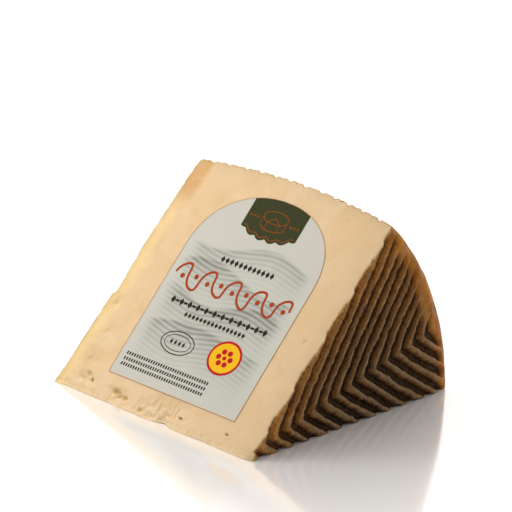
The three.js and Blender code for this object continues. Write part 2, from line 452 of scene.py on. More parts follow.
def pattern_depth(x, z, pattern):
    """How far the flat end is pressed in by the nested Vs, in metres, and the bands along their lips
    where a highlight is painted.
    """
    deepest = np.zeros_like(x)
    lips = np.zeros_like(x)
    rho = np.hypot(x, z)
    rng = np.random.default_rng(pattern["seed"])
    for i in range(pattern["count"]):
        tip = np.array(pattern["first_tip"]) + i * np.array(pattern["tip_step"])
        seed = pattern["seed"] + 10 * i
        stop = pattern["stop_radius"] + STOP_SPREAD * rng.uniform(-1, 1)
        upper, upper_lip = arm_share(x, z, tip, pattern["upper_angle"], UPPER_BEND,
                                     UPPER_STEEP_SIDE, UPPER_GENTLE_SIDE, seed)
        stop = stop + CORNER_REACH * smooth_step(0.7, 0.95, np.arctan2(z, x) / WEDGE_ANGLE)
        upper_end = smooth_step(stop, stop - STOP_FADE, rho)
        lower, lower_lip = arm_share(x, z, tip, pattern["lower_angle"], LOWER_BEND,
                                     LOWER_STEEP_SIDE, LOWER_GENTLE_SIDE, seed + 5)
        lower_end = smooth_step(LOWER_STOP, LOWER_STOP - STOP_FADE, rho)
        strength = 1 + 0.12 * rng.uniform(-1, 1)
        deepest = np.maximum(deepest, strength * np.maximum(upper * upper_end, lower * lower_end))
        lips = np.maximum(lips, np.maximum(upper_lip * upper_end, lower_lip * lower_end))
    return pattern["depth"] * deepest, lips * smooth_step(0.7, 0.3, deepest)


# The plait in the side

def zigzag_share(y, arc, middle, half_width, seed):
    warp = PLAIT_WARP * noise(arc, y, PLAIT_WARP_SIZE, 310)
    turns = np.abs(((arc + warp) / PLAIT_HALF_PERIOD) % 2 - 1) * 2 - 1
    wander = PLAIT_WANDER * line_noise(arc, PLAIT_WANDER_SIZE, seed)
    path = middle + PLAIT_SWING * turns + wander
    width = half_width * (1 + 0.25 * noise(arc, y, 1.5 * MM, seed + 1))
    return valley(np.clip(np.abs(y - path) / width, 0, 1))


def plait_depth(y, arc):
    """How far the side is pressed in by the plaited band, in metres."""
    depth = np.zeros_like(y)
    first = -(PLAIT_LINES - 1) / 2 * PLAIT_PITCH
    for i in range(PLAIT_LINES):
        middle = first + i * PLAIT_PITCH
        main = PLAIT_DEPTH * zigzag_share(y, arc, middle, PLAIT_HALF_WIDTH, 300 + i)
        strand_middle = middle + PLAIT_PITCH / 2
        strand = STRAND_DEPTH * zigzag_share(y, arc, strand_middle, STRAND_HALF_WIDTH, 340 + i)
        depth = np.maximum(depth, np.maximum(main, strand))
    return depth


# Wear of the cut edges

def edge_wear(rho, y):
    """How far the edge between the rind and a cut face is worn back."""
    lively = smooth_step(CALM_TO, CALM_FROM, y)
    wear = EDGE_WEAR + lively * EDGE_WEAR_SPREAD * noise(rho, y, WEAR_SIZE, 51) ** 2 * 2
    bites = smooth_step(0.15, 0.75, noise(rho, y, BITE_SIZE, 52))
    return wear + EDGE_BITES * bites * (0.25 + 0.75 * lively)


def apex_wear(y):
    wear = APEX_WEAR + 0.16 * MM * line_noise(y, 6 * MM, 53)
    wear = wear + 0.08 * MM * line_noise(y, 1.6 * MM, 54)
    for middle, half_length, extra in APEX_CHIPS:
        wear = wear + extra * MM * np.exp(-((y / MM - middle) / half_length) ** 2)
    return wear


def strip_share(distance, strip):
    """1 at an edge, falling to 0 at the strip's width."""
    return np.clip(1 - distance / strip, 0, 1) ** 2


def worn_rind(points, rho, angle, y, out):
    """Wears the rind back where it meets the two cut faces."""
    wear = edge_wear(rho, y) * smooth_step(0, 3 * MM, rho) / math.sqrt(2)
    at_cut = wear * strip_share(rho * (WEDGE_ANGLE - angle), EDGE_STRIP)
    at_floor = wear * strip_share(rho * angle, EDGE_STRIP)
    return points - at_cut[..., None] * (out + CUT_OUT) - at_floor[..., None] * out


def worn_apex(points, rho, y):
    """Wears back the thin edge along the axis, on the rind and on both cut faces alike."""
    wear = apex_wear(y)
    share = wear * strip_share(rho, APEX_STRIP + 2 * wear)
    inwards = np.array([math.cos(APEX_WEAR_SLOPE), 0, math.sin(APEX_WEAR_SLOPE)])
    return points + share[..., None] * inwards


# Meshes

def grid_normals(points):
    """Outward-or-inward normals of a grid of points, from its rows and columns."""
    normals = np.cross(np.gradient(points, axis=1), np.gradient(points, axis=0))
    length = np.linalg.norm(normals, axis=-1, keepdims=True)
    return normals / np.maximum(length, 1e-12)


def grid_triangles(ids):
    """Two triangles for every cell; cells that close up to a line or a point lose theirs."""
    a, b, c, d = ids[:-1, :-1], ids[1:, :-1], ids[1:, 1:], ids[:-1, 1:]
    first = np.stack([a, d, c], -1).reshape(-1, 3)
    second = np.stack([a, c, b], -1).reshape(-1, 3)
    triangles = np.concatenate([first, second])
    return drop_slivers(triangles)


def drop_slivers(triangles):
    a, b, c = triangles.T
    return triangles[(a != b) & (b != c) & (c != a)]


def weld(points, triangles):
    """Corners at one place become one corner."""
    keys = np.round(points / 1e-7).astype(np.int64)
    _, first, back = np.unique(keys, axis=0, return_index=True, return_inverse=True)
    return first, drop_slivers(back.reshape(-1)[triangles])


def make_piece(name, points, triangles, material, fields=None, normals=None):
    """A mesh object from arrays, with named numbers at its corners for its material."""
    first, triangles = weld(points, triangles)
    used, triangles = np.unique(triangles, return_inverse=True)
    keep = first[used]
    triangles = triangles.reshape(-1, 3)
    mesh = bpy.data.meshes.new(name)
    mesh.from_pydata(points[keep].tolist(), [], triangles.tolist())
    mesh.polygons.foreach_set("use_smooth", np.ones(len(triangles), bool))
    for field, values in (fields or {}).items():
        attribute = mesh.attributes.new(field, "FLOAT", "POINT")
        attribute.data.foreach_set("value", values[keep].astype(np.float32))
    if normals is not None:
        mesh.normals_split_custom_set_from_vertices(normals[keep].tolist())
    mesh.materials.append(material)
    piece = bpy.data.objects.new(name, mesh)
    bpy.context.scene.collection.objects.link(piece)
    return piece


# Material helpers

def new_material(name):
    material = bpy.data.materials.new(name)
    material.use_nodes = True
    tree = material.node_tree
    return material, tree, tree.nodes["Principled BSDF"]


def connect(tree, socket, value):
    if isinstance(value, bpy.types.NodeSocket):
        tree.links.new(value, socket)
    elif isinstance(value, tuple) and len(value) == 3 and socket.type == "RGBA":
        socket.default_value = (*value, 1)
    else:
        socket.default_value = value


def set_shader(tree, shader, values):
    for name, value in values.items():
        connect(tree, shader.inputs[name], value)


def maths(tree, operation, a, b=0.0):
    node = tree.nodes.new("ShaderNodeMath")
    node.operation = operation
    connect(tree, node.inputs[0], a)
    connect(tree, node.inputs[1], b)
    return node.outputs[0]


def times(tree, a, b):
    return maths(tree, "MULTIPLY", a, b)


def plus(tree, a, b):
    return maths(tree, "ADD", a, b)


def field(tree, name):
    node = tree.nodes.new("ShaderNodeAttribute")
    node.attribute_name = name
    return node.outputs["Fac"]


def place(tree):
    return tree.nodes.new("ShaderNodeTexCoord").outputs["Object"]


def cloud(tree, scale, detail=3, roughness=0.55):
    """Soft random values around a half, which change about scale times in a metre."""
    node = tree.nodes.new("ShaderNodeTexNoise")
    tree.links.new(place(tree), node.inputs["Vector"])
    node.inputs["Scale"].default_value = scale
    node.inputs["Detail"].default_value = detail
    node.inputs["Roughness"].default_value = roughness
    return node.outputs["Fac"]


def spots(tree, scale, size):
    """1 inside small scattered dots, 0 outside."""
    node = tree.nodes.new("ShaderNodeTexVoronoi")
    tree.links.new(place(tree), node.inputs["Vector"])
    node.inputs["Scale"].default_value = scale
    return ramp(tree, node.outputs["Distance"], size, size * 0.4)


def ramp(tree, value, low, high):
    """0 at low and 1 at high, smooth between them."""
    node = tree.nodes.new("ShaderNodeMapRange")
    node.interpolation_type = "SMOOTHSTEP"
    connect(tree, node.inputs["Value"], value)
    node.inputs["From Min"].default_value = min(low, high)
    node.inputs["From Max"].default_value = max(low, high)
    node.inputs["To Min"].default_value = 0.0 if low < high else 1.0
    node.inputs["To Max"].default_value = 1.0 if low < high else 0.0
    return node.outputs["Result"]


def patches(tree, scale, low, high, share=1.0, detail=3, roughness=0.55):
    """Scattered soft patches, with the given share inside them and 0 outside."""
    inside = ramp(tree, cloud(tree, scale, detail, roughness), low, high)
    return times(tree, inside, share)


def mix(tree, share, a, b):
    node = tree.nodes.new("ShaderNodeMix")
    node.data_type = "RGBA"
    connect(tree, node.inputs["Factor"], share)
    connect(tree, node.inputs["A"], a)
    connect(tree, node.inputs["B"], b)
    return node.outputs["Result"]


def bump(tree, height, distance, strength=1.0, before=None):
    node = tree.nodes.new("ShaderNodeBump")
    node.inputs["Strength"].default_value = strength
    node.inputs["Distance"].default_value = distance
    connect(tree, node.inputs["Height"], height)
    if before is not None:
        tree.links.new(before, node.inputs["Normal"])
    return node.outputs["Normal"]


# Colours, as linear light

CREST = (0.124, 0.070, 0.022)
CREST_WARM = (0.47, 0.215, 0.048)
# A painted highlight along the grooves' steep lips
PAINTED_LIP_HIGHLIGHT = (0.225, 0.150, 0.078)
# Walls and floors darken into the grooves: partly the rind's own tone, partly painted shade
WALL = (0.098, 0.041, 0.012)
WALL_WARM = (0.29, 0.108, 0.018)
GROOVE = (0.011, 0.0042, 0.0008)
GROOVE_WARM = (0.085, 0.027, 0.0035)
GRAIN = (0.07, 0.034, 0.010)
BAND = (0.40, 0.155, 0.017)
BAND_DARK = (0.23, 0.078, 0.008)
RIND_EDGE = (0.48, 0.26, 0.075)

PASTE = (0.70, 0.465, 0.222)
PASTE_LIGHT = (0.73, 0.505, 0.262)
PASTE_DEEP = (0.64, 0.385, 0.155)
PASTE_SKIN = (0.40, 0.27, 0.11)
PASTE_ORANGE = (0.63, 0.335, 0.085)
PASTE_CRUMB = (0.66, 0.42, 0.15)
# A painted glow, as of light through the thin far edge
PASTE_EDGE_GLOW = (0.86, 0.60, 0.25)
# Painted shade towards the near end, where the light falls off
PASTE_NEAR_END_SHADE = (0.60, 0.40, 0.20)
# Paler paste: for random blotches, and for painted light
PASTE_PALE = (0.76, 0.575, 0.345)
# Painted shade in the depths of the holes
PAINTED_PIT_SHADE = (0.09, 0.035, 0.008)

PAPER = (0.53, 0.515, 0.445)
PAPER_SHADE = (0.13, 0.135, 0.11)
INK_GREEN = (0.042, 0.046, 0.016)
INK_DARK = (0.022, 0.023, 0.012)
INK_COPPER = (0.21, 0.060, 0.012)
INK_RUST = (0.38, 0.050, 0.008)
INK_RED = (0.52, 0.010, 0.020)
INK_OCHRE = (0.88, 0.50, 0.012)
# Painted shade and glow along the label's edge
INK_PAINTED_EDGE_SHADE = (0.58, 0.29, 0.13)

# How fine the clouds in the materials are, as the scale of their noise

RIND_PATCHES = 70
BAND_PATCHES = 160
BAND_CRACKS = 260
RIND_GLOSS = 350
RIND_ROUGH = 420
RIND_MOTTLE = 460
LIP_HIGHLIGHT_PATCHES = 560
RIND_CRUMBS = 640
EDGE_FLECKS = 700
DARK_GRAIN = 820
RIND_GRAIN = 900

PASTE_BROAD = 28
PASTE_BLOTCHES = 75
PASTE_CURD = 170
PASTE_SPOTS = 210
PASTE_STREAKS = 240
PASTE_CRUMBS = 500
PASTE_ROUGH = 620
PASTE_FINE = 1300

PRINT_PATCHES = 90
INK_GLOSS = 900
PAPER_FIBRE = 1500
INK_WEAR = 1600


# Materials

def rind_colour(tree, pressed, warm, band, painted_highlight):
    """Crests, walls and floors of the pattern, darker into the grooves partly by the rind's own tone
    and partly by painted shade; a painted highlight along the lips; and the smooth band.
    """
    patchy = plus(tree, 0.5, patches(tree, RIND_PATCHES, 0.3, 0.7, 0.5, 4))
    crest = mix(tree, times(tree, warm, patchy), CREST, CREST_WARM)
    wall = mix(tree, warm, WALL, WALL_WARM)
    floor = mix(tree, warm, GROOVE, GROOVE_WARM)
    floor = mix(tree, patches(tree, RIND_GRAIN, 0.57, 0.7, 0.4), floor, GRAIN)
    crumbs = times(tree, maths(tree, "SUBTRACT", cloud(tree, RIND_CRUMBS, 4), 0.5), 0.7)
    # Darker with depth into the grooves: partly the rind's own tone, partly painted shade
    colour = mix(tree, ramp(tree, pressed, 0.0, 0.16), crest, wall)
    colour = mix(tree, ramp(tree, plus(tree, pressed, crumbs), 0.3, 0.66), colour, floor)
    colour = mix(tree, patches(tree, RIND_MOTTLE, 0.48, 0.66, 0.35, 4, 0.65), colour, wall)
    colour = mix(tree, painted_highlight, colour, PAINTED_LIP_HIGHLIGHT)
    smooth_band = mix(tree, patches(tree, BAND_PATCHES, 0.35, 0.7, detail=5), BAND, BAND_DARK)
    cracks = patches(tree, BAND_CRACKS, 0.40, 0.33, 0.6, 5, 0.7)
    smooth_band = mix(tree, cracks, smooth_band, WALL)
    return mix(tree, band, colour, smooth_band)


def rind_material():
    material, tree, shader = new_material("rind")
    pressed = field(tree, "pressed")
    band = field(tree, "band")
    # A painted highlight along the steep lips, split into patches
    highlight_breaks = plus(tree, 0.35, patches(tree, LIP_HIGHLIGHT_PATCHES, 0.40, 0.62, 0.5))
    painted_highlight = times(tree, highlight_breaks, field(tree, "lip"))
    colour = rind_colour(tree, pressed, field(tree, "warm"), band, painted_highlight)
    broken_edge = times(tree, field(tree, "edge"), patches(tree, EDGE_FLECKS, 0.32, 0.58))
    colour = mix(tree, broken_edge, colour, RIND_EDGE)
    dark_grain = patches(tree, DARK_GRAIN, 0.52, 0.75, 0.4)
    dark_grain = times(tree, dark_grain, ramp(tree, band, 1.2, 0.2))
    colour = mix(tree, dark_grain, colour, GROOVE)
    gloss = plus(tree, 0.12, times(tree, cloud(tree, RIND_GLOSS, 4), 0.42))
    gloss = plus(tree, gloss, times(tree, pressed, 0.25))
    gloss = plus(tree, gloss, times(tree, band, 0.25))
    gloss = maths(tree, "SUBTRACT", gloss, times(tree, painted_highlight, 0.15))
    rough = bump(tree, cloud(tree, RIND_ROUGH, 5), 0.6 * MM, 0.7)
    set_shader(tree, shader, {
        "Base Color": colour,
        "Roughness": gloss,
        "Normal": bump(tree, cloud(tree, RIND_GRAIN, 3), 0.2 * MM, 0.8, rough),
        "IOR": 1.3,
        "Specular IOR Level": 0.3,
        "Specular Tint": (1.0, 0.66, 0.38),
        "Coat Weight": 0.12,
        "Coat Roughness": 0.12,
        "Coat IOR": 1.3,
    })
    return material


def paste_colour(tree, curd, crumbly):
    colour = mix(tree, patches(tree, PASTE_BROAD, 0.3, 0.7), PASTE, PASTE_LIGHT)
    colour = mix(tree, times(tree, ramp(tree, curd, 0.5, 0.75), 0.35), colour, PASTE_DEEP)
    colour = mix(tree, times(tree, spots(tree, PASTE_SPOTS, 0.16), 0.25), colour, PASTE_DEEP)
    colour = mix(tree, patches(tree, PASTE_BLOTCHES, 0.52, 0.66, 0.4, 4), colour, PASTE_PALE)
    # Painted light, a painted glow along the far edge and painted shade towards the near end
    for name, tint in (("painted_light", PASTE_PALE), ("painted_edge_glow", PASTE_EDGE_GLOW), ("painted_near_end_shade", PASTE_NEAR_END_SHADE)):
        colour = mix(tree, field(tree, name), colour, tint)
    crumbs = times(tree, crumbly, patches(tree, PASTE_CRUMBS, 0.52, 0.68, detail=4))
    colour = mix(tree, crumbs, colour, PASTE_CRUMB)
    streaks = patches(tree, PASTE_STREAKS, 0.1, 0.5, detail=4)
    colour = mix(tree, times(tree, field(tree, "orange"), streaks), colour, PASTE_ORANGE)
    colour = mix(tree, field(tree, "skin"), colour, PASTE_SKIN)
    # Crumb colour around the holes, painted shade between torn crumbs and in the holes' depths
    pit = field(tree, "pit")
    colour = mix(tree, ramp(tree, pit, 0.02, 0.35), colour, PASTE_CRUMB)
    return mix(tree, ramp(tree, pit, 0.4, 0.85), colour, PAINTED_PIT_SHADE)


def paste_material():
    material, tree, shader = new_material("paste")
    crumbly = field(tree, "crumbly")
    curd = cloud(tree, PASTE_CURD, 4)
    waxy = bump(tree, curd, 0.45 * MM, 0.45)
    crumbs = times(tree, cloud(tree, PASTE_ROUGH, 4), crumbly)
    crumbled = bump(tree, crumbs, 0.6 * MM, 0.8, waxy)
    set_shader(tree, shader, {
        "Base Color": paste_colour(tree, curd, crumbly),
        "Roughness": plus(tree, 0.42, times(tree, curd, 0.22)),
        "Normal": bump(tree, cloud(tree, PASTE_FINE, 2), 0.08 * MM, 0.6, crumbled),
        "Subsurface Weight": 0.25,
        "Subsurface Radius": (1.0, 0.55, 0.25),
        "Subsurface Scale": 2.5 * MM,
    })
    return material


def paper_material():
    """Pale paper with soft grey hills printed on it, crossed by fine level lines."""
    material, tree, shader = new_material("label_paper")
    hills = times(tree, field(tree, "hills"), patches(tree, PRINT_PATCHES, 0.0, 0.6))
    lines = ramp(tree, maths(tree, "SINE", field(tree, "level")), -0.3, 0.3)
    lines = times(tree, times(tree, lines, LEVEL_DARKNESS), field(tree, "lined"))
    fibre = cloud(tree, PAPER_FIBRE, 3)
    set_shader(tree, shader, {
        "Base Color": mix(tree, plus(tree, lines, hills), PAPER, PAPER_SHADE),
        "Roughness": plus(tree, 0.40, times(tree, fibre, 0.15)),
        "Normal": bump(tree, fibre, 0.03 * MM, 0.4),
        "Specular IOR Level": 0.25,
    })
    return material


def ink_material(name, colour):
    material, tree, shader = new_material(name)
    worn = patches(tree, INK_WEAR, 0.5, 0.8, 0.05)
    set_shader(tree, shader, {
        "Base Color": mix(tree, worn, colour, PAPER),
        "Roughness": plus(tree, 0.55, times(tree, cloud(tree, INK_GLOSS, 2), 0.16)),
        "Normal": bump(tree, cloud(tree, PAPER_FIBRE, 3), 0.02 * MM, 0.3),
        "Specular IOR Level": 0.04,
    })
    return material


# The rind

def body_lumps(x, y, z):
    return sum(height * (1 + noise(x + y, z - y, size, seed)) for height, size, seed in LUMPS)


def band_lumps(rho, angle, side):
    on_band = smooth_step(BAND_FROM, BAND_TO, rho) * (1 - side)
    return BAND_LUMPS * on_band * (1 + noise(rho, RIM_RADIUS * angle, BAND_LUMP_SIZE, 64))


def groove_crumbs(x, y, z, groove_depth):
    crumbs = CRUMB_DEPTH * (1 + noise(x, z + y, CRUMB_CELL, 63))
    return crumbs * (groove_depth > CRUMBS_FROM)


def shaved_depth(rho, cut_distance):
    start = smooth_step(SHAVED_FROM, SHAVED_FROM + SHAVED_START, rho)
    end = smooth_step(SHAVED_TO, SHAVED_FROM, rho)
    return SHAVED_DEPTH * start * end * np.exp(-cut_distance / SHAVED_REACH)


def end_patterns(x, z, cut_distance):
    """(depth, lips) of the pattern in the near and in the far end, shallower at the cut."""
    settled = smooth_step(0, SHALLOW_REACH, cut_distance)
    near_depth, near_lips = pattern_depth(x, z, NEAR_PATTERN)
    near_depth = near_depth * (SHALLOW_AT_CUT + (1 - SHALLOW_AT_CUT) * settled)
    far_depth, far_lips = pattern_depth(x, z, FAR_PATTERN)
    far_depth = far_depth * smooth_step(FAR_SHALLOW_FROM, SHALLOW_REACH, cut_distance)
    return (near_depth, near_lips), (far_depth, far_lips)


def pressed_share(near, far, side, near_depth, far_depth, side_depth, cut_distance):
    """How deep the rind is pressed in at each place, against the deepest there."""
    pressed = near * near_depth / NEAR_PATTERN["depth"] + far * far_depth / FAR_PATTERN["depth"]
    pressed = pressed + side * side_depth / PLAIT_DEPTH * 0.8
    return pressed * (1 - (1 - near) * 0.9 * np.exp(-cut_distance / PALE_GROOVE_REACH))


def band_share(rho, y, side, pressed):
    """Where the rind has the band's colour: around each end and along the side's margins."""
    margin = smooth_step(MARGIN_FROM, MARGIN_TO, np.abs(y - SIDE_MIDDLE))
    around = smooth_step(BAND_COLOUR_FROM, BAND_TO, rho) * (1 - side + side * margin)
    return around * smooth_step(0.5, 0.1, pressed)


def warm_share(rho, angle, cut_distance):
    """Where the rind is more amber: beside the cut and towards the rim."""
    beside_cut = 1.1 * np.exp(-cut_distance / WARM_REACH)
    raised = 0.3 + 0.7 * angle / WEDGE_ANGLE
    return np.clip(beside_cut + 0.6 * smooth_step(WARM_FROM, WARM_TO, rho) * raised, 0, 1)


def rind_surface():
    """The whole rind in rows and columns: its points as pressed, worn and final, and its fields."""
    radius, along = wheel_profile()
    out_radius, out_y = profile_normals(radius, along)
    rho = radius[:, None] * np.ones(COLUMNS)
    y = along[:, None] * np.ones(COLUMNS)
    angle = np.linspace(0, WEDGE_ANGLE, COLUMNS)[None, :] * np.ones((len(radius), 1))
    x, z = rho * np.cos(angle), rho * np.sin(angle)
    near = np.where(out_y < -0.5, 1.0, 0.0)[:, None]
    far = np.where(out_y > 0.5, 1.0, 0.0)[:, None]
    side = smooth_step(0.6, 0.95, out_radius)[:, None]
    cut_distance = rho * (WEDGE_ANGLE - angle)

    (near_depth, near_lips), (far_depth, far_lips) = end_patterns(x, z, cut_distance)
    side_depth = plait_depth(y, RIM_RADIUS * angle)
    settled = smooth_step(0, PLAIT_SETTLED, cut_distance)
    side_depth = side_depth * (PLAIT_AT_CUT + (1 - PLAIT_AT_CUT) * settled)
    depth = near * near_depth + far * (far_depth + shaved_depth(rho, cut_distance))
    depth = depth + side * side_depth + body_lumps(x, y, z) + band_lumps(rho, angle, side)
    depth = depth + groove_crumbs(x, y, z, near_depth * near + far_depth * far)
    out = np.stack([
        out_radius[:, None] * np.cos(angle),
        out_y[:, None] * np.ones(COLUMNS),
        out_radius[:, None] * np.sin(angle),
    ], -1)
    pressed_points = from_wheel(rho, angle, y) - depth[..., None] * out
    worn_points = worn_rind(pressed_points, rho, angle, y, out)

    pressed = pressed_share(near, far, side, near_depth, far_depth, side_depth, cut_distance)
    fields = {
        "pressed": pressed,
        "band": band_share(rho, y, side, pressed),
        "warm": warm_share(rho, angle, cut_distance),
        "edge": np.clip(1.1 * np.exp(-cut_distance / RIND_EDGE_REACH), 0, 1),
        # Where the highlight along the lips is painted
        "lip": near * near_lips + far * far_lips,
    }
    return pressed_points, worn_points, worn_apex(worn_points, rho, y), fields


def rind_pieces(points, fields, material):
    """The near end, the side and the far end, cut from one surface."""
    normals = grid_normals(points)
    middle = points.mean((0, 1))
    if np.sum(normals * (points - middle)) < 0:
        normals = -normals
    last_near = END_ROWS - 1 + SHOULDER_ROWS // 2
    last_side = len(points) - 1 - last_near
    spans = {
        "rind_near_end": (0, last_near),
        "rind_side": (last_near, last_side),
        "rind_far_end": (last_side, len(points) - 1),
    }
    pieces = []
    for name, (first, last) in spans.items():
        rows = slice(first, last + 1)
        cut = points[rows]
        ids = np.arange(cut.shape[0] * cut.shape[1]).reshape(cut.shape[:2])
        values = {key: value[rows].ravel() for key, value in fields.items()}
        flat_normals = normals[rows].reshape(-1, 3)
        triangles = facing(cut.reshape(-1, 3), grid_triangles(ids), flat_normals)
        pieces.append(make_piece(name, cut.reshape(-1, 3), triangles, material, values, flat_normals))
    return pieces


def facing(points, triangles, normals):
    """Turns the triangles over if they face against the normals."""
    a, b, c = (points[triangles[:, k]] for k in range(3))
    side = np.cross(b - a, c - a)
    agree = np.sum(side * normals[triangles[:, 0]])
    return triangles if agree > 0 else triangles[:, ::-1]


# The two cut faces

def near_rim_far(border):
    """The border of a cut face in three runs: up the near end, along the rim, up the far end."""
    corner = END_ROWS - 1 + SHOULDER_ROWS // 2
    last = len(border) - 1
    near = border[:corner + 1]
    rim = border[corner:last - corner + 1]
    far = border[last - corner:][::-1]
    return near, rim, far


def face_grid(border):
    """Fills a cut face with (rho, y) from those of its border."""
    near, rim, far = near_rim_far(border)
    v = np.maximum.accumulate((rim[:, 1] - rim[0, 1]) / (rim[-1, 1] - rim[0, 1]))
    u = np.linspace(0, 1, len(near))
    apex = near[0] + (far[0] - near[0]) * v[:, None]
    u, v = u[:, None, None], v[None, :, None]
    ruled = (1 - v) * near[:, None] + v * far[:, None] + (1 - u) * apex[None] + u * rim[None]
    corners = (1 - u) * ((1 - v) * near[0] + v * far[0]) + u * ((1 - v) * rim[0] + v * rim[-1])
    grid = ruled - corners
    return grid[..., 0], grid[..., 1]


def worn_border(distances, border_shift):
    """Carries the wear of a cut face's border inwards, from whichever run is nearest."""
    near, rim, far = near_rim_far(border_shift)
    shifts = [near[:, None], far[:, None], rim[None]]
    nearest = np.argmin(np.stack(distances), 0)
    moved = 0
    for k, (distance, shift) in enumerate(zip(distances, shifts)):
        share = strip_share(distance, EDGE_STRIP) * (nearest == k)
        moved = moved + share[..., None] * shift
    return moved


def undulation(rho, y):
    """How far the cut face dips between its high places, always inwards."""
    broad = 0.10 * MM * (1 + noise(rho, y, 17 * MM, 71))
    small = 0.035 * MM * (1 + noise(rho, y, 4 * MM, 72))
    return broad + small


def pit_shares(rho, y):
    """(depth in metres, how dark) of the small holes: crumb colour around each, painted shade in its
    depth.
    """
    depth = np.zeros_like(rho)
    crumb_tint_and_shade = np.zeros_like(rho)
    ragged = 1 + 0.35 * noise(rho, y, 0.9 * MM, 73)
    for pit_y, pit_rho, half_y, half_rho, deep, tint in PITS:
        away = np.hypot((y / MM - pit_y) / half_y, (rho / MM - pit_rho) / half_rho) * ragged
        share = smooth_step(1.25, 0.2, away)
        depth = np.maximum(depth, deep * MM * share)
        crumb_tint_and_shade = np.maximum(crumb_tint_and_shade, tint * share)
    return depth, crumb_tint_and_shade


def ridges(rho, y):
    """Sharp little valleys between crumbs, from -1 to 1."""
    coarse = 1 - 2 * np.abs(noise(rho / 2.2, y, 1.7 * MM, 76))
    fine = 1 - 2 * np.abs(noise(rho / 1.4, y, 0.7 * MM, 77))
    return 0.65 * coarse + 0.35 * fine


def crumbled_share(rho, y):
    """How crumbled the cut face is: a little all along the thin edge, more at the torn spots."""
    share = 0.35 * np.exp(-(rho / CRUMBLY_REACH) ** 2)
    for torn_y, torn_rho, half_y, half_rho, much in TORN_SPOTS:
        away = ((y / MM - torn_y) / half_y) ** 2 + ((rho / MM - torn_rho) / half_rho) ** 2
        share = share + much * np.exp(-away)
    return np.clip(share, 0, 1)


def torn_relief(rho, y):
    """(depth in metres, painted shade in the valleys between crumbs, painted light on the crumbs) where
    the cut face is torn.
    """
    torn = crumbled_share(rho, y)
    rough = ridges(rho, y)
    depth = TORN_DEPTH * torn * (1 + rough)
    return depth, 0.22 * torn * smooth_step(0.3, 0.9, rough), 0.9 * torn * smooth_step(0.1, -0.5, rough)


def paste_fields(rho, y, near_distance, far_distance, rind_distance):
    """Where the paste has its skin beside the rind, its orange corner, a painted glow along the far
    edge and painted shade towards the near end.
    """
    ragged_distance = rind_distance + SKIN_RAGGED * (1 + noise(rho, y, 3 * MM, 74))
    skin = 0.8 * np.exp(-ragged_distance / SKIN_REACH)
    skin = skin + 0.25 * np.exp(-ragged_distance / SOFT_SKIN_REACH)
    corner = smooth_step(*CORNER_STRIP, far_distance) * smooth_step(*CORNER_RISE, rho)
    # A painted glow along the far edge, as of light through the thin paste
    glow_distance = far_distance + 1.2 * MM * noise(rho, y, 2.5 * MM, 75)
    painted_edge_glow = smooth_step(*EDGE_GLOW_STRIP, glow_distance) * (1 - corner)
    return {
        "skin": skin,
        "painted_edge_glow": painted_edge_glow,
        # Painted shade towards the near end
        "painted_near_end_shade": 0.65 * np.exp(-near_distance / NEAR_END_SHADE_REACH),
        "orange": corner,
        "crumbly": np.clip(0.8 * np.exp(-rho / CRUMBLY_REACH), 0, 1),
    }


def cut_face(name, column, surfaces, out, material, labelled):
    """A cut face of the paste, which joins the rind along one column of its surface."""
    pressed, worn, final = (surface[:, column] for surface in surfaces)
    slope = np.array([-out[2], 0, out[0]]) if labelled else np.array([1, 0, 0])
    slope = slope * np.sign(slope[0])
    flat = pressed - AXIS_POINT
    rho, y = face_grid(np.stack([flat @ slope, flat[:, 1]], -1))
    distances = [y - y[:, :1], y[:, -1:] - y, np.broadcast_to(rho[-1:] - rho, rho.shape)]
    rind_distance = np.minimum(np.minimum(distances[0], distances[1]), distances[2])
    edge_distance = np.minimum(rind_distance, rho)
    depth = undulation(rho, y) * smooth_step(0, 2.5 * MM, edge_distance)
    fields = paste_fields(rho, y, distances[0], distances[1], rind_distance)
    crumb_tint_and_shade = np.zeros_like(rho)
    painted_light = np.zeros_like(rho)
    if labelled:
        pits, pit_tint_and_shade = pit_shares(rho, y)
        torn, crevice_shade, painted_light = torn_relief(rho, y)
        depth = depth + pits * smooth_step(0, 1 * MM, rind_distance)
        depth = depth + torn * smooth_step(0, 1.5 * MM, edge_distance)
        # Crumb colour around the holes, painted shade in their depths and in the valleys between torn
        # crumbs
        crumb_tint_and_shade = np.maximum(pit_tint_and_shade, crevice_shade)
    fields["pit"] = crumb_tint_and_shade
    # Painted light near the thin bottom edge and on the bodies of torn crumbs
    fields["painted_light"] = np.maximum(painted_light, 0.5 * np.exp(-(rho / PAINTED_LIGHT_REACH) ** 2))
    # The painted glow is on the labelled face only
    fields["painted_edge_glow"] = fields["painted_edge_glow"] * labelled
    points = AXIS_POINT + rho[..., None] * slope + y[..., None] * np.array([0, 1, 0])
    points = points - depth[..., None] * out + worn_border(distances, worn - pressed)
    points = worn_apex(points, rho, y)
    for rows, run in zip((np.s_[:, 0], np.s_[-1], np.s_[:, -1]), near_rim_far(final)):
        points[rows] = run
    fields = {key: value.ravel() for key, value in fields.items()}
    ids = np.arange(rho.size).reshape(rho.shape)
    flat_points = points.reshape(-1, 3)
    triangles = facing(flat_points, grid_triangles(ids), np.broadcast_to(out, flat_points.shape))
    return make_piece(name, flat_points, triangles, material, fields)


# The label

def on_label(y, rho, height):
    """A point above the cut face, which the label follows."""
    above = height - undulation(rho, y)
    return from_wheel(rho, np.full_like(rho, WEDGE_ANGLE), y) + above[..., None] * CUT_OUT


def label_half_width(rho):
    share = np.clip((rho - LABEL_SHOULDER) / (LABEL_TOP - LABEL_SHOULDER), 0, 1)
    return LABEL_HALF_WIDTH * (1 - share ** LABEL_ROUNDNESS) ** (1 / LABEL_ROUNDNESS)


